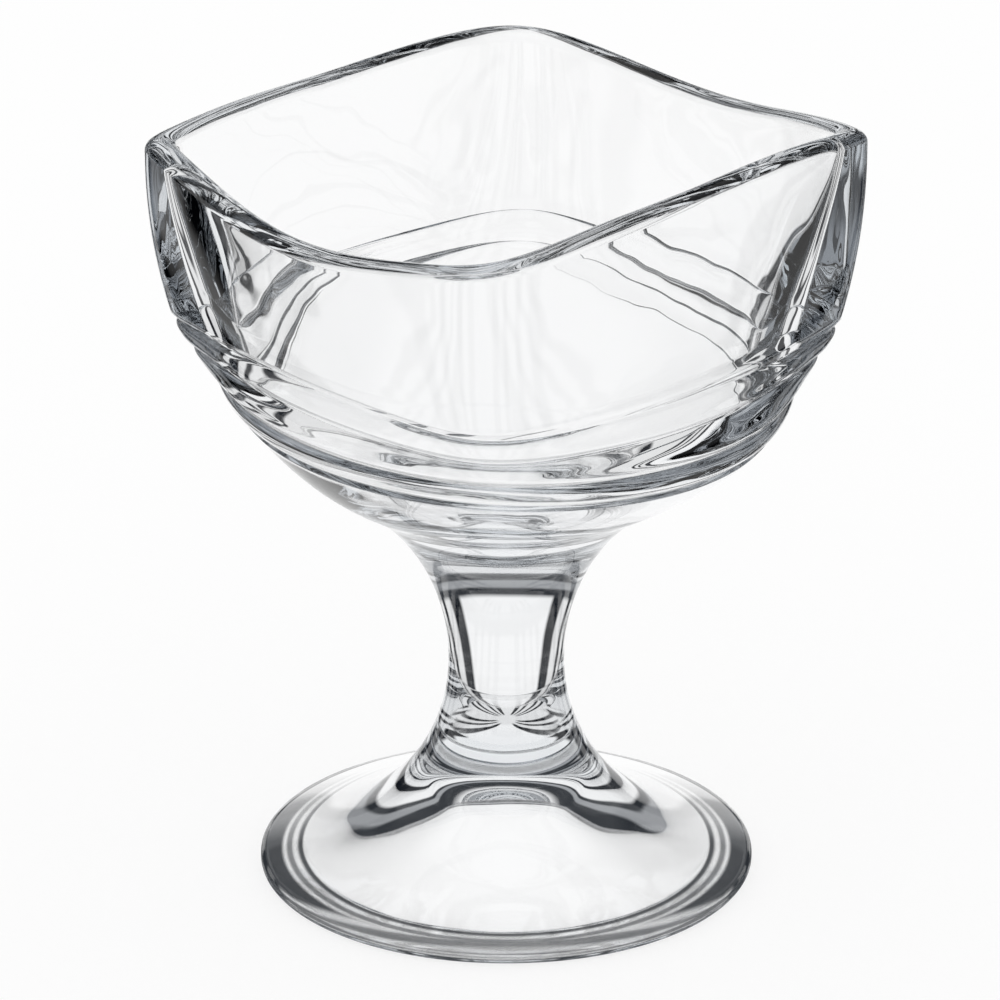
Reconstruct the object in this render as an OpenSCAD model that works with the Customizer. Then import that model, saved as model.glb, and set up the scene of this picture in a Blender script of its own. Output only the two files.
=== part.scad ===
// Dessert dish of clear pressed glass: a square bowl with a wavy rim on a waisted stem and a round foot.
// Millimetres, +Z up. The origin is at the middle of the ring that the foot rests on.
// The two sides that rise face -X and +X, and the two sides that dip face -Y and +Y.

/* [Foot] */
// Diameter of the foot
foot_d = 70; // [62:1:78]
// Height of the foot's outer edge
foot_edge_h = 3.4; // [3.2:0.1:5]
// Rounding of the outer edge, at its top and at its bottom
foot_edge_r = 1.5; // [0.8:0.1:1.5]
// Length of the sloping top between the stem's flare and the rounded edge
foot_flat = 5.6; // [4:0.2:8]
// Diameter of the hollow under the foot
hollow_d = 56; // [50:1:56]
// Depth of the hollow under the foot
hollow_h = 12; // [10:0.5:13]
// Radius of the dome at the top of the hollow
hollow_dome_r = 12; // [9:0.5:12.5]
// Slope of the hollow's skirt where it meets the ring that the foot rests on, in degrees
hollow_slope = 7; // [4:1:12]

/* [Stem] */
// Diameter of the stem at its waist
waist_d = 16.4; // [14:0.2:20]
// Height of the waist above the table
waist_z = 32; // [30:0.5:36]
// Height at which the stem stands on the foot
stem_bottom_z = 17; // [15:0.5:20]
// Height at which the bowl sits on the stem
stem_top_z = 50; // [46:0.5:52]

/* [Bowl] */
// Radius of the ball that the underside follows
bowl_r = 49.6; // [47:0.2:52]
// Height of that ball's centre
bowl_z = 102.8; // [100:0.2:106]
// Height up to which the bowl is round
round_z = 72; // [66:0.5:76]
// Height at which the flat walls begin
wall_z = 83.4; // [80:0.2:87]
// Width across the rising sides where the walls begin
wall_rise_w = 72.4; // [68:0.2:76]
// Width across the dipping sides where the walls begin
wall_dip_w = 77.4; // [72:0.2:82]
// How straight the walls are where they begin, from 0 for round to 1 for straight
wall_straight_share = 0.84; // [0.6:0.02:0.96]
// How full the walls are between their bottom and the rim, from 1 for a straight slope
wall_fullness = 2.2; // [1:0.1:3]
// Thickness of the glass under the flat walls
wall_t = 5; // [4:0.25:6]
// How sharp the cavity's corners are where the flat walls begin
cavity_corner_fullness = 6; // [5:0.5:12]
// How full the cavity is between there and the rim, from 1 for a straight slope
cavity_fullness = 1.2; // [1:0.1:1.6]

/* [Rim] */
// Mean height of the rim above the table
rim_z = 109.8; // [105:0.2:114]
// Width across the two sides that rise
rise_w = 71.6; // [66:0.2:76]
// Width across the two sides that dip
dip_w = 84.6; // [78:0.2:90]
// How straight the rising sides are, from 0 for round to 1 for straight
rise_straight_share = 0.98; // [0.8:0.01:0.99]
// How straight the dipping sides are, from 0 for round to 1 for straight
dip_straight_share = 0.78; // [0.6:0.01:0.9]
// How far the rising sides stand above the dipping sides
rim_wave = 5; // [0:0.2:8]
// How far the corners stand above the mean height of the sides
corner_lift = 1.2; // [0:0.1:3]
// How much further the corners towards +X+Y and -X-Y stand up
sharp_lift = 1.3; // [0:0.1:3]
// How sharp the corners towards +X+Y and -X-Y are
sharp_corner_fullness = 44; // [20:1:50]
// How sharp the other two corners are
soft_corner_fullness = 10; // [8:1:20]
// Thickness of the rounded lip
lip_t = 3.8; // [2.8:0.1:4.6]

/* [Ridges] */
// Number of ridges under the flat walls
ridge_n = 3; // [1:1:4]
// Height of one ridge
ridge_h = 4.1; // [3:0.1:4.6]
// Depth of the grooves between the ridges
ridge_depth = 0.7; // [0.2:0.1:1.2]
// How far the ridges climb from one corner of the bowl to the opposite corner
ridge_climb = 3.2; // [0:0.2:6]

/* [Hidden] */
$fn = 96;
foot_r = foot_d / 2;
waist_r = waist_d / 2;

// Centre of the rounding along the foot's top edge, as radius and height
edge_x = foot_r - foot_edge_r;
edge_z = foot_edge_h - foot_edge_r;

// The sloping top of the foot touches the edge rounding and the flare that comes down from the waist
foot_slope = 2 * atan((waist_z - edge_z + foot_flat) / (foot_r - waist_r)) - 90;
flare_reach = (waist_z - edge_z) * cos(foot_slope) - (edge_x - waist_r) * sin(foot_slope) - foot_edge_r;
foot_flare_r = flare_reach / (1 - sin(foot_slope));
foot_flare_x = waist_r + foot_flare_r;
slope_top = [foot_flare_x - foot_flare_r * sin(foot_slope), waist_z - foot_flare_r * cos(foot_slope)];
slope_end = [edge_x + foot_edge_r * sin(foot_slope), edge_z + foot_edge_r * cos(foot_slope)];

// The hollow is a bell: its dome touches the skirt, which comes down to the ring at the hollow's slope
hollow_r = hollow_d / 2;
dome_z = hollow_h - hollow_dome_r;
skirt_reach = hollow_dome_r + dome_z * cos(hollow_slope) - hollow_r * sin(hollow_slope);
skirt_r = (pow(hollow_r, 2) + pow(dome_z, 2) - pow(hollow_dome_r, 2)) / (2 * skirt_reach);
skirt_x = hollow_r + skirt_r * sin(hollow_slope);
skirt_z = skirt_r * cos(hollow_slope);
dome_turn = atan2(skirt_z - dome_z, skirt_x);
bell_touch = [hollow_dome_r * cos(dome_turn), dome_z + hollow_dome_r * sin(dome_turn)];

// The curve from the waist up to the bowl touches the bowl's ball
bowl_flare_r = (pow(waist_r, 2) + pow(bowl_z - waist_z, 2) - pow(bowl_r, 2)) / (2 * (bowl_r - waist_r));
bowl_flare_x = waist_r + bowl_flare_r;
flare_start = asin((stem_top_z - waist_z) / bowl_flare_r);
flare_end = atan2(bowl_z - waist_z, bowl_flare_x);
flare_end_z = waist_z + bowl_flare_r * sin(flare_end);

// The ridges end here, below the flat walls
ridge_bottom_z = wall_z - ridge_n * ridge_h;

// The cavity follows a ball inside the bowl's ball
cavity_r = bowl_r - wall_t;

// The sharp corners lie this way and opposite, and the ridges climb towards this corner
sharp_dir = 45;
climb_dir = 225;

// Facets of the bowl: points round each ring, and rings along each stretch of its section
ring_points = 96;
flare_rings = 5;
under_rings = 5;
rings_per_ridge = 6;
wall_rings = 7;
lip_rings = 6;
cavity_rings = 10;

// Share of the wall's height over which it comes out of the topmost groove
groove_share = 0.04;

function mix(a, b, share) = a + (b - a) * share;
function smooth(share) = let (s = max(0, min(1, share))) s * s * (3 - 2 * s);

// Angle from the nearer of -X and +X
function from_x(a) = abs((a + 90) % 180 - 90);

// How sharp the rim and the outside of the walls are at an angle
function corner_at(a) = mix(soft_corner_fullness, sharp_corner_fullness, pow(cos(a - sharp_dir), 2));

// Distance from the axis to a rounded square with bulging sides
function square_ring(a, x_half, y_half, x_straight, y_straight, sharpness) =
    let (x_side = cos(x_straight * from_x(a)) / x_half)
    let (y_side = cos(y_straight * (90 - from_x(a))) / y_half)
    pow(pow(x_side, sharpness) + pow(y_side, sharpness), -1 / sharpness);

// Distance from the axis to the walls where they begin, on the outside and in the cavity
function wall_plan(a, margin, sharpness) =
    let (x_half = wall_rise_w / 2 - margin, y_half = wall_dip_w / 2 - margin)
    square_ring(a, x_half, y_half, wall_straight_share, wall_straight_share, sharpness);
function outer_plan(a) = wall_plan(a, 0, corner_at(a));
function cavity_plan(a) = wall_plan(a, wall_t, cavity_corner_fullness);

// A ball that turns from round to the walls' plan as it nears the walls
function ball_at(ball_r, z) = sqrt(pow(ball_r, 2) - pow(bowl_z - z, 2));
function ball_ring(ball_r, plan_r, z) =
    ball_at(ball_r, z) * mix(1, plan_r / ball_at(ball_r, wall_z), smooth((z - round_z) / (wall_z - round_z)));

// Height of the underside at a level, where the ridges climb towards one corner
function climbed(a, z) =
    z + ridge_climb / 2 * cos(a - climb_dir) * smooth((z - flare_end_z) / (ridge_bottom_z - flare_end_z));

// Depth below the top of the ridges, with a sharp groove at both edges of each
function groove(z) = let (u = (wall_z - z) / ridge_h) ridge_depth * pow(abs(2 * (u - floor(u)) - 1), 3);

// The rim's outline, drawn in by a margin, and the height of its lip's centre
function rim_ring(a, margin) =
    let (x_half = rise_w / 2 - margin, y_half = dip_w / 2 - margin)
    square_ring(a, x_half, y_half, rise_straight_share, dip_straight_share, corner_at(a));
function lip_z(a) =
    let (sharp_rise = sharp_lift * pow(cos(a - sharp_dir), 8))
    rim_z - lip_t / 2 + rim_wave / 2 * cos(2 * a) - corner_lift / 2 * cos(4 * a) + sharp_rise;

// A wall between its bottom and the lip, at a share of its height
function wall_ring(bottom_r, top_r, fullness, share) = mix(bottom_r, top_r, 1 - pow(1 - share, fullness));

// One ring of the bowl's skin is a list of points
function at(a, r, z) = [r * cos(a), r * sin(a), z];
angles = [for (i = [0:ring_points - 1]) 360 * i / ring_points];

flare_skin = [for (i = [0:flare_rings])
    let (d = mix(flare_start, flare_end, i / flare_rings))
    [for (a = angles) at(a, bowl_flare_x - bowl_flare_r * cos(d), waist_z + bowl_flare_r * sin(d))]];

under_skin = [for (i = [1:under_rings])
    let (z = mix(flare_end_z, ridge_bottom_z, i / under_rings), depth = i == under_rings ? ridge_depth : 0)
    [for (a = angles) at(a, ball_ring(bowl_r, outer_plan(a), z) - depth, climbed(a, z))]];

ridge_skin = [for (i = [1:ridge_n * rings_per_ridge])
    let (z = ridge_bottom_z + i * ridge_h / rings_per_ridge)
    [for (a = angles) at(a, ball_ring(bowl_r, outer_plan(a), z) - groove(z), climbed(a, z))]];

wall_skin = [for (i = [0:wall_rings])
    let (share = mix(groove_share, 1, i / wall_rings))
    [for (a = angles)
        let (r = wall_ring(outer_plan(a), rim_ring(a, 0), wall_fullness, share))
        at(a, r, mix(climbed(a, wall_z), lip_z(a), share))]];

lip_skin = [for (i = [1:lip_rings - 1])
    let (turn = 180 * i / lip_rings)
    [for (a = angles) at(a, rim_ring(a, lip_t / 2 * (1 - cos(turn))), lip_z(a) + lip_t / 2 * sin(turn))]];

inner_wall_skin = [for (i = [0:wall_rings])
    let (share = 1 - i / wall_rings)
    [for (a = angles)
        let (r = wall_ring(cavity_plan(a), rim_ring(a, lip_t), cavity_fullness, share))
        at(a, r, mix(wall_z, lip_z(a), share))]];

cavity_top = acos((bowl_z - wall_z) / cavity_r);
cavity_skin = [for (i = [1:cavity_rings - 1])
    let (z = bowl_z - cavity_r * cos(cavity_top * (1 - i / cavity_rings)))
    [for (a = angles) at(a, ball_ring(cavity_r, cavity_plan(a), z), z)]];

bowl_skin = concat(flare_skin, under_skin, ridge_skin, wall_skin, lip_skin, inner_wall_skin, cavity_skin);
bowl_points = concat([for (ring = bowl_skin) each ring], [[0, 0, bowl_z - cavity_r]]);
last_ring = (len(bowl_skin) - 1) * ring_points;
cavity_bottom = last_ring + ring_points;

seat_face = [for (i = [0:ring_points - 1]) i];
skin_faces = [for (k = [0:len(bowl_skin) - 2], i = [0:ring_points - 1])
    let (low = k * ring_points, high = low + ring_points, next = (i + 1) % ring_points)
    each [[low + i, high + i, high + next], [low + i, high + next, low + next]]];
floor_faces = [for (i = [0:ring_points - 1])
    [last_ring + i, cavity_bottom, last_ring + (i + 1) % ring_points]];

module glass() {
    color([0.84, 0.9, 0.92, 0.5]) children();
}

// Section of the foot: the rounded edge, the sloping top and the flare, over the hollow
module foot_section() {
    difference() {
        union() {
            translate([edge_x, edge_z]) circle(r = foot_edge_r);
            translate([edge_x, foot_edge_r]) circle(r = foot_edge_r);
            translate([0, foot_edge_r]) square([foot_r, edge_z - foot_edge_r]);
            polygon([
                [0, 0], [edge_x, 0], [edge_x, edge_z], slope_end, slope_top,
                [slope_top[0], stem_bottom_z], [0, stem_bottom_z]
            ]);
        }
        translate([foot_flare_x, waist_z]) circle(r = foot_flare_r);
        bell_section();
    }
}

// Section of the hollow: the dome, and what the skirt leaves of the space below it
module bell_section() {
    translate([0, dome_z]) circle(r = hollow_dome_r);
    difference() {
        polygon([[0, 0], [hollow_r, 0], bell_touch, [0, bell_touch[1]]]);
        translate([skirt_x, skirt_z]) circle(r = skirt_r);
    }
}

// Section of the stem: what two curves that touch at the waist leave of a bar
module stem_section() {
    difference() {
        translate([0, stem_bottom_z]) square([foot_flare_x, stem_top_z - stem_bottom_z]);
        intersection() {
            translate([foot_flare_x, waist_z]) circle(r = foot_flare_r);
            translate([0, stem_bottom_z]) square([foot_flare_x, waist_z - stem_bottom_z]);
        }
        intersection() {
            translate([bowl_flare_x, waist_z]) circle(r = bowl_flare_r);
            translate([0, waist_z]) square([foot_flare_x, stem_top_z - waist_z]);
        }
    }
}

// Half plane on the outer side of the axis, which keeps a section clear of it
module outer_half() {
    intersection() {
        children();
        square([foot_d, rim_z]);
    }
}

module foot() {
    glass() rotate_extrude() outer_half() foot_section();
}

module stem() {
    glass() rotate_extrude() stem_section();
}

module bowl() {
    glass() polyhedron(bowl_points, concat([seat_face], skin_faces, floor_faces), convexity = 8);
}

foot();
stem();
bowl();
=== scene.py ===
"""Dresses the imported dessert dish: smooth clear glass for its foot, stem and bowl, in a white studio."""

import bpy
import numpy as np
from mathutils import Matrix, Vector


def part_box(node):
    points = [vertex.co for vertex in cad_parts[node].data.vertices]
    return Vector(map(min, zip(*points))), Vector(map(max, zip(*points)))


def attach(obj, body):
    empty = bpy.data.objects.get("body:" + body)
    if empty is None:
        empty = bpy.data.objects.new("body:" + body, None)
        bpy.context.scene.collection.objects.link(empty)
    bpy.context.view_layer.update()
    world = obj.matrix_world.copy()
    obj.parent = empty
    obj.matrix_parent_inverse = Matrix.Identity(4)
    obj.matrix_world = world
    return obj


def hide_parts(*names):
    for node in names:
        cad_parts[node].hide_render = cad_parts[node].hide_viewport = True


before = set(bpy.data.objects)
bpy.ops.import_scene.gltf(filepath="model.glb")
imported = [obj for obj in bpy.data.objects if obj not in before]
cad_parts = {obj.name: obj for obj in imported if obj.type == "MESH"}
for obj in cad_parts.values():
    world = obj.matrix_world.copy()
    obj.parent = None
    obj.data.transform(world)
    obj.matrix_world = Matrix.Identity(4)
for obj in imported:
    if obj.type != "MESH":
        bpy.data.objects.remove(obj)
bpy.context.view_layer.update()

# The dish's sizes in millimetres, as in the part's source. What the frame knows is read from it.
MM = 0.001
FOOT_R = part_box("foot")[1].x / MM
FOOT_EDGE_H = 3.4
FOOT_EDGE_R = 1.5
FOOT_FLAT = 5.6
HOLLOW_R = 28.0
HOLLOW_H = 12.0
HOLLOW_DOME_R = 12.0
HOLLOW_SLOPE = np.radians(7)
WAIST_R = 8.2
WAIST_Z = 32.0
STEM_BOTTOM_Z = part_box("stem")[0].z / MM
STEM_TOP_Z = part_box("stem")[1].z / MM
BOWL_R = 49.6
BOWL_Z = 102.8
ROUND_Z = 72.0
WALL_Z = 83.4
WALL_RISE_W = 72.4
WALL_DIP_W = 77.4
WALL_STRAIGHT = 0.84
WALL_FULLNESS = 2.2
WALL_T = 5.0
CAVITY_CORNER = 6.0
CAVITY_FULLNESS = 1.2
RIM_Z = 109.8
RISE_W = 71.6
DIP_W = 84.6
RISE_STRAIGHT = 0.98
DIP_STRAIGHT = 0.78
RIM_WAVE = 5.0
CORNER_LIFT = 1.2
SHARP_LIFT = 1.3
SHARP_CORNER = 44.0
SOFT_CORNER = 10.0
LIP_T = 3.8
RIDGE_N = 3
RIDGE_H = 4.1
RIDGE_DEPTH = 0.7
RIDGE_CLIMB = 3.2
SHARP_DIR = np.radians(45)
SHARP_LIFT_POWER = 8
CLIMB_DIR = np.radians(225)
GROOVE_POWER = 3
GROOVE_SHARE = 0.04

# The curves of the section that more than one piece follows, as in the part's source
EDGE_X = FOOT_R - FOOT_EDGE_R
EDGE_Z = FOOT_EDGE_H - FOOT_EDGE_R
FOOT_SLOPE = 2 * np.arctan((WAIST_Z - EDGE_Z + FOOT_FLAT) / (FOOT_R - WAIST_R)) - np.pi / 2
SLOPE_SIN = np.sin(FOOT_SLOPE)
SLOPE_COS = np.cos(FOOT_SLOPE)
FLARE_REACH = (WAIST_Z - EDGE_Z) * SLOPE_COS - (EDGE_X - WAIST_R) * SLOPE_SIN - FOOT_EDGE_R
FLARE_R = FLARE_REACH / (1 - SLOPE_SIN)
FLARE_X = WAIST_R + FLARE_R
STEM_FOOT_TURN = np.arcsin((WAIST_Z - STEM_BOTTOM_Z) / FLARE_R)
BOWL_FLARE_R = (WAIST_R**2 + (BOWL_Z - WAIST_Z) ** 2 - BOWL_R**2) / (2 * (BOWL_R - WAIST_R))
BOWL_FLARE_X = WAIST_R + BOWL_FLARE_R
FLARE_START = np.arcsin((STEM_TOP_Z - WAIST_Z) / BOWL_FLARE_R)
FLARE_END = np.arctan2(BOWL_Z - WAIST_Z, BOWL_FLARE_X)

# Fineness of the glass skin: points round each ring, closer at the corners, and rings along each stretch
RING_POINTS = 384
CORNER_PACKING = 0.6
DOME_RINGS = 24
SKIRT_RINGS = 36
REST_RINGS = 4
EDGE_RINGS = 10
SLOPE_RINGS = 8
FLARE_RINGS = 40
STEM_RINGS = 24
UNDER_RINGS = 28
RINGS_PER_RIDGE = 18
WALL_RINGS = 36
LIP_RINGS = 24
CAVITY_RINGS = 48

# The glass: its refraction, its tint and how fast that grows with depth, the faint waves of its surface and
# their depth in millimetres, its clouds of polish, and the gap in millimetres between two joined pieces
GLASS_IOR = 1.5
GLASS_TINT = (0.885, 0.9, 0.915, 1.0)
GLASS_DENSITY = 34.0
WAVE_SCALE = 75.0
WAVE_DETAIL = 1.0
WAVE_DEPTH = 0.25
CLOUD_SCALE = 160.0
CLOUD_DETAIL = 3.0
CLOUD_STOPS = [(0.45, (0.0, 0.0, 0.0, 1.0)), (0.75, (0.02, 0.02, 0.02, 1.0))]
JOINT_GAP = 0.01

# The photograph's view: the camera stands towards +X and -Y, at a distance in metres,
# and the point of the axis at the target's height in millimetres lies at the target's pixel
VIEW_AZIMUTH = np.radians(45)
VIEW_ELEVATION = np.radians(23)
VIEW_DISTANCE = 1.6
IMAGE_PX = 1000
PX_PER_MM = 7.1
TARGET_Z = 56.0
TARGET_PX = (506.4, 500.9)
SENSOR_MM = 36.0

# The studio: a white floor of a size in metres, the bounces that light may take, and the levels of light
FLOOR_SIZE = 4.0
FLOOR_GLOW = 0.7
FLOOR_COLOUR = (0.97, 0.97, 0.97, 1.0)
ROOM_LIGHT = 1.0
LIGHT_BOUNCES = 10
CLEAR_BOUNCES = 32
WHITE = (1.0, 1.0, 1.0, 1.0)
BLACK = (0.0, 0.0, 0.0, 1.0)
DARK = (0.006, 0.008, 0.012, 1.0)
DIM = (0.030, 0.034, 0.040, 1.0)
DUSK = (0.36, 0.37, 0.385, 1.0)
PALE = (0.85, 0.85, 0.85, 1.0)

# The painted shade that the glass shows on the floor, in millimetres: rings by their distance outside the
# hollow, and the stretch behind the axis over which they come up, towards the camera
SHADE_REACH = 17.0
SHADE_STOPS = [
    (0.0, 0.0), (0.3, 0.9), (0.7, 0.9), (1.1, 0.1), (1.6, 0.1), (1.9, 0.7),
    (2.4, 0.7), (2.7, 0.15), (3.0, 0.15), (3.4, 0.93), (12.0, 0.93), (15.0, 0.0)
]
SHADE_FADE = (-24, -2)

# What the glass shows of the room, by angles in degrees. Round the room they run from straight behind the
# dish, at 0, by both sides to behind the camera, at 180. Upward they run from -90, straight down, to 90.
# The walls hold dark cards with soft edges. The ceiling above them and a patch straight below are the rest.
CARD_FADE = 2.5
WALL_CARDS = [(29.5, 38), (51.5, 55), (65, 70), (110, 115), (125, 128.5), (141.5, 145), (155, 162.5)]
WALL_SHARE = [(-83, BLACK), (-79, WHITE), (6, WHITE), (9, BLACK)]
BACK_REST = [(-60, PALE), (9, DIM), (13, DIM), (15, DUSK), (21, DUSK), (23.5, DIM), (44, DIM), (56, PALE)]
SIDE_REST = [(-60, PALE), (9, DIM), (13, DIM), (20, DUSK), (46, DUSK), (58, PALE)]
SIDE_SHARE = [(44, BLACK), (56, WHITE)]


def mix(a, b, share):
    return a + (b - a) * share


def smooth(share):
    s = np.clip(share, 0, 1)
    return s * s * (3 - 2 * s)


# Angles round the dish. The sine brings the points closer together at the four corners.
TURN = np.arange(RING_POINTS) * 2 * np.pi / RING_POINTS
ANGLES = TURN + CORNER_PACKING / 4 * np.sin(4 * TURN)
FROM_X = np.abs((ANGLES + np.pi / 2) % np.pi - np.pi / 2)
CORNER_AT = mix(SOFT_CORNER, SHARP_CORNER, np.cos(ANGLES - SHARP_DIR) ** 2)


def square_ring(x_half, y_half, x_straight, y_straight, sharpness):
    """Distance from the axis to a rounded square with bulging sides."""
    x_side = np.cos(x_straight * FROM_X) / x_half
    y_side = np.cos(y_straight * (np.pi / 2 - FROM_X)) / y_half
    return (x_side**sharpness + y_side**sharpness) ** (-1 / sharpness)


def wall_plan(margin, sharpness):
    x_half, y_half = WALL_RISE_W / 2 - margin, WALL_DIP_W / 2 - margin
    return square_ring(x_half, y_half, WALL_STRAIGHT, WALL_STRAIGHT, sharpness)


OUTER_PLAN = wall_plan(0, CORNER_AT)
CAVITY_PLAN = wall_plan(WALL_T, CAVITY_CORNER)


def rim_ring(margin):
    return square_ring(RISE_W / 2 - margin, DIP_W / 2 - margin, RISE_STRAIGHT, DIP_STRAIGHT, CORNER_AT)


def ball_at(ball_r, z):
    return np.sqrt(ball_r**2 - (BOWL_Z - z) ** 2)


def ball_ring(ball_r, plan_r, z):
    """A ball that turns from round to the walls' plan as it nears the walls."""
    share = smooth((z - ROUND_Z) / (WALL_Z - ROUND_Z))
    return ball_at(ball_r, z) * mix(1, plan_r / ball_at(ball_r, WALL_Z), share)


def wall_ring(bottom_r, top_r, fullness, share):
    return mix(bottom_r, top_r, 1 - (1 - share) ** fullness)


def groove(z):
    u = (WALL_Z - z) / RIDGE_H
    return RIDGE_DEPTH * abs(2 * (u - np.floor(u)) - 1) ** GROOVE_POWER


def ring(r, z):
    """One ring of the skin, from its distance to the axis and its height."""
    r, z = np.broadcast_to(r, ANGLES.shape), np.broadcast_to(z, ANGLES.shape)
    return np.stack([r * np.cos(ANGLES), r * np.sin(ANGLES), z], axis=1)


def steps(start, end, count):
    """Even steps after the start, up to and with the end."""
    return np.linspace(start, end, count + 1)[1:]


def arc(centre_r, centre_z, radius, start, end, count):
    """Rings along an arc of the section, from just after its start to its end."""
    turns = steps(start, end, count)
    return [ring(centre_r + radius * np.cos(turn), centre_z + radius * np.sin(turn)) for turn in turns]


def foot_rings():
    """The foot from the middle of its hollow, out round its edge and up its sloping top to the stem."""
    dome_z = HOLLOW_H - HOLLOW_DOME_R
    reach = HOLLOW_DOME_R + dome_z * np.cos(HOLLOW_SLOPE) - HOLLOW_R * np.sin(HOLLOW_SLOPE)
    skirt_r = (HOLLOW_R**2 + dome_z**2 - HOLLOW_DOME_R**2) / (2 * reach)
    skirt_x, skirt_z = HOLLOW_R + skirt_r * np.sin(HOLLOW_SLOPE), skirt_r * np.cos(HOLLOW_SLOPE)
    dome_turn = np.arctan2(skirt_z - dome_z, skirt_x)
    end_r, end_z = EDGE_X + FOOT_EDGE_R * SLOPE_SIN, EDGE_Z + FOOT_EDGE_R * SLOPE_COS
    top_r, top_z = FLARE_X - FLARE_R * SLOPE_SIN, WAIST_Z - FLARE_R * SLOPE_COS
    down = 1.5 * np.pi
    rings = arc(0, dome_z, HOLLOW_DOME_R, np.pi / 2, dome_turn, DOME_RINGS)
    rings += arc(skirt_x, skirt_z, skirt_r, np.pi + dome_turn, down - HOLLOW_SLOPE, SKIRT_RINGS)
    rings += [ring(r, 0) for r in steps(HOLLOW_R, EDGE_X, REST_RINGS)]
    rings += arc(EDGE_X, FOOT_EDGE_R, FOOT_EDGE_R, down, 2 * np.pi, EDGE_RINGS)
    rings += [ring(FOOT_R, EDGE_Z)]
    rings += arc(EDGE_X, EDGE_Z, FOOT_EDGE_R, 0, np.pi / 2 - FOOT_SLOPE, EDGE_RINGS)
    rings += [ring(mix(end_r, top_r, s), mix(end_z, top_z, s)) for s in steps(0, 1, SLOPE_RINGS)]
    return rings + arc(FLARE_X, WAIST_Z, FLARE_R, down - FOOT_SLOPE, np.pi + STEM_FOOT_TURN, FLARE_RINGS)


def stem_rings():
    """The stem from the foot to the waist and on to the bowl."""
    low = arc(FLARE_X, WAIST_Z, FLARE_R, np.pi + STEM_FOOT_TURN, np.pi, STEM_RINGS)
    return low + arc(BOWL_FLARE_X, WAIST_Z, BOWL_FLARE_R, np.pi, np.pi - FLARE_START, STEM_RINGS)


def bowl_rings():
    """The bowl from the stem up its outside, over the lip and down into the cavity."""
    ridge_bottom_z = WALL_Z - RIDGE_N * RIDGE_H
    flare_end_z = WAIST_Z + BOWL_FLARE_R * np.sin(FLARE_END)
    cavity_r = BOWL_R - WALL_T
    lip_z = RIM_Z - LIP_T / 2 + RIM_WAVE / 2 * np.cos(2 * ANGLES) - CORNER_LIFT / 2 * np.cos(4 * ANGLES)
    lip_z += SHARP_LIFT * np.cos(ANGLES - SHARP_DIR) ** SHARP_LIFT_POWER

    def climbed(z):
        share = smooth((z - flare_end_z) / (ridge_bottom_z - flare_end_z))
        return z + RIDGE_CLIMB / 2 * np.cos(ANGLES - CLIMB_DIR) * share

    start, end = np.pi - FLARE_START, np.pi - FLARE_END
    rings = arc(BOWL_FLARE_X, WAIST_Z, BOWL_FLARE_R, start, end, UNDER_RINGS // 2)
    for z in steps(flare_end_z, ridge_bottom_z, UNDER_RINGS)[:-1]:
        rings.append(ring(ball_ring(BOWL_R, OUTER_PLAN, z), climbed(z)))
    for z in np.linspace(ridge_bottom_z, WALL_Z, RIDGE_N * RINGS_PER_RIDGE + 1):
        rings.append(ring(ball_ring(BOWL_R, OUTER_PLAN, z) - groove(z), climbed(z)))
    for share in np.linspace(GROOVE_SHARE, 1, WALL_RINGS + 1):
        r = wall_ring(OUTER_PLAN, rim_ring(0), WALL_FULLNESS, share)
        rings.append(ring(r, mix(climbed(WALL_Z), lip_z, share)))
    for turn in steps(0, np.pi, LIP_RINGS):
        rings.append(ring(rim_ring(LIP_T / 2 * (1 - np.cos(turn))), lip_z + LIP_T / 2 * np.sin(turn)))
    for share in steps(1, 0, WALL_RINGS):
        r = wall_ring(CAVITY_PLAN, rim_ring(LIP_T), CAVITY_FULLNESS, share)
        rings.append(ring(r, mix(WALL_Z, lip_z, share)))
    cavity_top = np.arccos((BOWL_Z - WALL_Z) / cavity_r)
    for turn in steps(cavity_top, 0, CAVITY_RINGS)[:-1]:
        z = BOWL_Z - cavity_r * np.cos(turn)
        rings.append(ring(ball_ring(cavity_r, CAVITY_PLAN, z), z))
    return rings


def skin_normals(rings):
    """Normals of the whole dish's skin, so that none of its pieces shows where it meets the next."""
    along = np.gradient(rings, axis=0)
    across = np.roll(rings, -1, axis=1) - np.roll(rings, 1, axis=1)
    normals = np.cross(across, along)
    return normals / np.linalg.norm(normals, axis=2, keepdims=True)


def glass_piece(name, rings, normals, poles, material):
    """A closed piece of the dish from its rings, with a pole or a flat joint at each end."""
    count = len(rings)
    rings = rings.copy()
    for pole, end, inward in ((poles[0], 0, 1), (poles[1], -1, -1)):
        if pole is None:
            rings[end, :, 2] += inward * JOINT_GAP / 2
    points = list(rings.reshape(-1, 3))
    bends = list(normals.reshape(-1, 3))
    faces, joints = [], []
    following = np.roll(np.arange(RING_POINTS), -1)
    for k in range(count - 1):
        low, high = k * RING_POINTS, (k + 1) * RING_POINTS
        for i, j in enumerate(following):
            faces.append((low + i, low + j, high + j, high + i))
            joints.append(0)
    for pole, first, turn in ((poles[0], 0, -1), (poles[1], (count - 1) * RING_POINTS, 1)):
        if pole is None:
            faces.append([first + i for i in range(RING_POINTS)][::turn])
            joints.append(1)
            continue
        points.append(pole[0])
        bends.append(pole[1])
        for i, j in enumerate(following):
            faces.append((first + i, first + j, len(points) - 1)[::turn])
            joints.append(0)
    mesh = bpy.data.meshes.new(name)
    mesh.from_pydata(np.array(points) * MM, [], faces)
    mesh.materials.append(material)
    mesh.attributes.new("joint", "FLOAT", "FACE").data.foreach_set("value", joints)
    mesh.polygons.foreach_set("use_smooth", [True] * len(faces))
    mesh.update()
    mesh.normals_split_custom_set_from_vertices(bends)
    piece = bpy.data.objects.new(name, mesh)
    bpy.context.scene.collection.objects.link(piece)
    return piece


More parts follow.
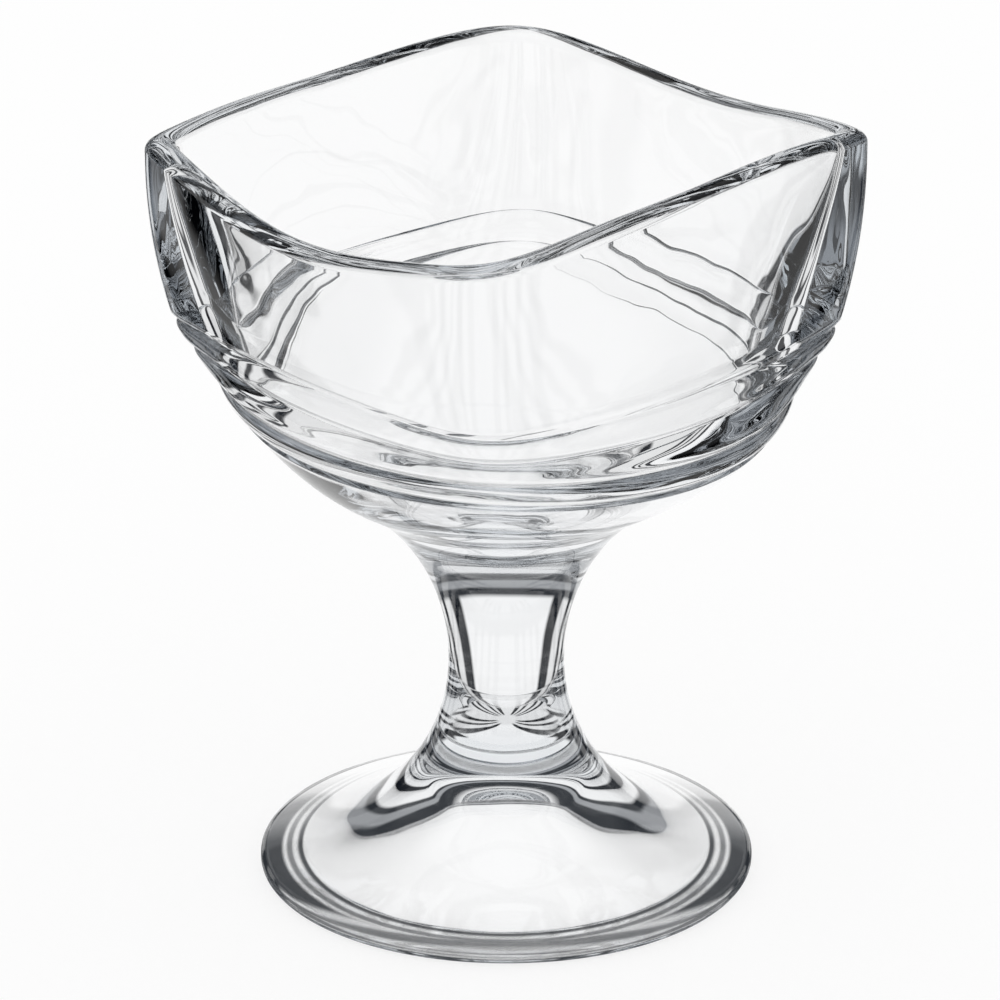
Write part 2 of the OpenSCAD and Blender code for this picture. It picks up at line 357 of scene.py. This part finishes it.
def feed(tree, socket, value):
    """Links a socket to another node's, or sets it to a value."""
    if isinstance(value, bpy.types.NodeSocket):
        tree.links.new(value, socket)
    else:
        socket.default_value = value


def add_node(tree, kind, **inputs):
    """A node of a tree. An input goes by its name, or by its place, as in _0."""
    node = tree.nodes.new(kind)
    for name, value in inputs.items():
        key = int(name[1:]) if name[1:].isdigit() else name.replace("_", " ")
        feed(tree, node.inputs[key], value)
    return node


def add_math(tree, operation, *values):
    node = tree.nodes.new("ShaderNodeMath")
    node.operation = operation
    for socket, value in zip(node.inputs, values):
        feed(tree, socket, value)
    return node.outputs[0]


def add_ramp(tree, factor, stops):
    """Colours along a factor from 0 to 1."""
    node = add_node(tree, "ShaderNodeValToRGB", Fac=factor)
    elements = node.color_ramp.elements
    while len(elements) < len(stops):
        elements.new(1.0)
    for element, (place, colour) in zip(elements, stops):
        element.position = place
        element.color = colour
    return node.outputs["Color"]


def add_mix(tree, share, first, second):
    """Two colours, blended."""
    node = tree.nodes.new("ShaderNodeMix")
    node.data_type = "RGBA"
    sockets = {socket.identifier: socket for socket in [*node.inputs, *node.outputs]}
    feed(tree, sockets["Factor_Float"], share)
    feed(tree, sockets["A_Color"], first)
    feed(tree, sockets["B_Color"], second)
    return sockets["Result_Color"]


def seen_in_glass(tree):
    """1 for a ray that glass has bent or mirrored, and 0 for others."""
    path = tree.nodes.new("ShaderNodeLightPath").outputs
    return add_math(tree, "MAXIMUM", path["Is Glossy Ray"], path["Is Transmission Ray"])


def new_material(name):
    material = bpy.data.materials.new(name)
    material.use_nodes = True
    return material, material.node_tree


def clear_glass():
    """Clear glass, tinted in its depth, with faint waves and clouds. The joints in it don't show."""
    material, tree = new_material("clear_glass")
    shader = tree.nodes["Principled BSDF"]
    shader.inputs["Base Color"].default_value = WHITE
    shader.inputs["IOR"].default_value = GLASS_IOR
    shader.inputs["Transmission Weight"].default_value = 1.0
    place = tree.nodes.new("ShaderNodeTexCoord").outputs["Object"]
    waves = add_node(tree, "ShaderNodeTexNoise", Vector=place, Scale=WAVE_SCALE, Detail=WAVE_DETAIL)
    clouds = add_node(tree, "ShaderNodeTexNoise", Vector=place, Scale=CLOUD_SCALE, Detail=CLOUD_DETAIL)
    bump = add_node(tree, "ShaderNodeBump", Height=waves.outputs[0], Strength=1.0, Distance=WAVE_DEPTH * MM)
    tree.links.new(bump.outputs[0], shader.inputs["Normal"])
    tree.links.new(add_ramp(tree, clouds.outputs[0], CLOUD_STOPS), shader.inputs["Roughness"])
    tint = add_node(tree, "ShaderNodeVolumeAbsorption", Color=GLASS_TINT, Density=GLASS_DENSITY)
    through = tree.nodes.new("ShaderNodeBsdfTransparent").outputs[0]
    shadow = tree.nodes.new("ShaderNodeLightPath").outputs["Is Shadow Ray"]
    glass = add_node(tree, "ShaderNodeMixShader", _0=shadow, _1=shader.outputs[0], _2=through)
    joint = tree.nodes.new("ShaderNodeAttribute")
    joint.attribute_name = "joint"
    both = add_node(tree, "ShaderNodeMixShader", _0=joint.outputs["Fac"], _1=glass.outputs[0], _2=through)
    output = tree.nodes["Material Output"]
    tree.links.new(both.outputs[0], output.inputs["Surface"])
    tree.links.new(tint.outputs[0], output.inputs["Volume"])
    return material


def foot_shade(tree):
    """Share of the painted shade under the foot's edge, by the place on the floor."""
    reach = HOLLOW_R + SHADE_REACH
    place = tree.nodes.new("ShaderNodeNewGeometry").outputs["Position"]
    length = add_node(tree, "ShaderNodeVectorMath", _0=place)
    length.operation = "LENGTH"
    from_axis = add_math(tree, "DIVIDE", length.outputs["Value"], reach * MM)
    stops = [((HOLLOW_R + gap) / reach, (level, level, level, 1)) for gap, level in SHADE_STOPS]
    rings = add_ramp(tree, from_axis, stops)
    axes = add_node(tree, "ShaderNodeSeparateXYZ", Vector=place).outputs
    forward = add_math(tree, "DIVIDE", add_math(tree, "SUBTRACT", axes["X"], axes["Y"]), np.sqrt(2) * MM)
    fade = add_node(tree, "ShaderNodeMapRange", _0=forward, _1=SHADE_FADE[0], _2=SHADE_FADE[1])
    return add_math(tree, "MULTIPLY", rings, fade.outputs[0])


def set_floor():
    """A white floor that keeps a part of the dish's shadow. The glass shows a painted shade of the foot on
    it.
    """
    half = FLOOR_SIZE / 2
    mesh = bpy.data.meshes.new("floor")
    corners = [(-half, -half, 0), (half, -half, 0), (half, half, 0), (-half, half, 0)]
    mesh.from_pydata(corners, [], [(0, 1, 2, 3)])
    material, tree = new_material("white_floor")
    tree.nodes.remove(tree.nodes["Principled BSDF"])
    to_camera = tree.nodes.new("ShaderNodeLightPath").outputs["Is Camera Ray"]
    matt = add_node(tree, "ShaderNodeBsdfDiffuse", Color=FLOOR_COLOUR)
    glow = add_node(tree, "ShaderNodeEmission", Color=WHITE)
    glowing = add_math(tree, "MULTIPLY", to_camera, FLOOR_GLOW)
    plain = add_node(tree, "ShaderNodeMixShader", _0=glowing, _1=matt.outputs[0], _2=glow.outputs[0])
    through = tree.nodes.new("ShaderNodeBsdfTransparent")
    # A dark glow that only the glass sees paints the foot's shade on the floor
    dim = add_node(tree, "ShaderNodeEmission", Color=DIM)
    shade = foot_shade(tree)
    shaded = add_node(tree, "ShaderNodeMixShader", _0=shade, _1=through.outputs[0], _2=dim.outputs[0])
    in_glass = seen_in_glass(tree)
    both = add_node(tree, "ShaderNodeMixShader", _0=in_glass, _1=plain.outputs[0], _2=shaded.outputs[0])
    tree.links.new(both.outputs[0], tree.nodes["Material Output"].inputs["Surface"])
    mesh.materials.append(material)
    floor = bpy.data.objects.new("floor", mesh)
    bpy.context.scene.collection.objects.link(floor)


def wall_stops():
    """Colours round the walls: white behind the dish, and then pale between the dark cards."""
    stops = []
    for start, end in WALL_CARDS:
        stops += [(start - CARD_FADE, PALE), (start, DARK), (end, DARK), (end + CARD_FADE, PALE)]
    return [(stops[0][0], WHITE)] + stops[1:]


def set_room():
    """A white room. The glass shows dark cards on its walls, and a ceiling that is dim near them."""
    world = bpy.data.worlds.new("room")
    bpy.context.scene.world = world
    world.use_nodes = True
    tree = world.node_tree
    where = tree.nodes.new("ShaderNodeTexCoord")
    axes = add_node(tree, "ShaderNodeSeparateXYZ", Vector=where.outputs["Generated"]).outputs
    ahead = add_math(tree, "SUBTRACT", axes["Y"], axes["X"])
    aside = add_math(tree, "ABSOLUTE", add_math(tree, "ADD", axes["Y"], axes["X"]))
    turn = add_math(tree, "DIVIDE", add_math(tree, "ARCTAN2", aside, ahead), np.pi)
    height = add_math(tree, "ARCSINE", axes["Z"])
    rise = add_math(tree, "ADD", add_math(tree, "DIVIDE", height, np.pi), 0.5)

    def around(stops):
        return add_ramp(tree, turn, [(degrees / 180, colour) for degrees, colour in stops])

    def upward(stops):
        return add_ramp(tree, rise, [((degrees + 90) / 180, colour) for degrees, colour in stops])

    rest = add_mix(tree, around(SIDE_SHARE), upward(BACK_REST), upward(SIDE_REST))
    shown = add_mix(tree, upward(WALL_SHARE), rest, around(wall_stops()))
    plain = add_node(tree, "ShaderNodeBackground", Color=WHITE, Strength=ROOM_LIGHT)
    detailed = add_node(tree, "ShaderNodeBackground", Color=shown, Strength=ROOM_LIGHT)
    in_glass = seen_in_glass(tree)
    both = add_node(tree, "ShaderNodeMixShader", _0=in_glass, _1=plain.outputs[0], _2=detailed.outputs[0])
    tree.links.new(both.outputs[0], tree.nodes["World Output"].inputs["Surface"])


def set_camera():
    back = Vector((np.sin(VIEW_AZIMUTH), -np.cos(VIEW_AZIMUTH), 0)) * np.cos(VIEW_ELEVATION)
    back.z = np.sin(VIEW_ELEVATION)
    right = Vector((np.cos(VIEW_AZIMUTH), np.sin(VIEW_AZIMUTH), 0))
    up = back.cross(right)
    off_x, off_y = ((px - IMAGE_PX / 2) / PX_PER_MM * MM for px in TARGET_PX)
    aim = Vector((0, 0, TARGET_Z * MM)) - right * off_x + up * off_y
    camera = bpy.data.objects.new("camera", bpy.data.cameras.new("camera"))
    bpy.context.scene.collection.objects.link(camera)
    facing = Matrix((right, up, back)).transposed().to_4x4()
    camera.matrix_world = Matrix.Translation(aim + back * VIEW_DISTANCE) @ facing
    camera.data.sensor_width = SENSOR_MM
    camera.data.lens = SENSOR_MM * VIEW_DISTANCE / (IMAGE_PX / PX_PER_MM * MM)
    bpy.context.scene.camera = camera


foot, stem, bowl = foot_rings(), stem_rings(), bowl_rings()
skin = np.array(foot + stem + bowl)
bend = skin_normals(skin)
stem_start, bowl_start = len(foot) - 1, len(foot) + len(stem) - 1
hollow_top = ((0, 0, HOLLOW_H), (0, 0, -1))
cavity_bottom = ((0, 0, BOWL_Z - BOWL_R + WALL_T), (0, 0, 1))
glass = clear_glass()
pieces = [
    ("foot", slice(0, stem_start + 1), (hollow_top, None)),
    ("stem", slice(stem_start, bowl_start + 1), (None, None)),
    ("bowl", slice(bowl_start, len(skin)), (None, cavity_bottom)),
]
for node, span, poles in pieces:
    piece = glass_piece("glass_" + node, skin[span], bend[span], poles, glass)
    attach(piece, "root")
    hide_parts(node)

set_floor()
set_room()
set_camera()
bpy.context.scene.view_settings.view_transform = "Standard"
bpy.context.scene.cycles.max_bounces = LIGHT_BOUNCES
bpy.context.scene.cycles.transmission_bounces = LIGHT_BOUNCES
bpy.context.scene.cycles.glossy_bounces = LIGHT_BOUNCES
bpy.context.scene.cycles.transparent_max_bounces = CLEAR_BOUNCES
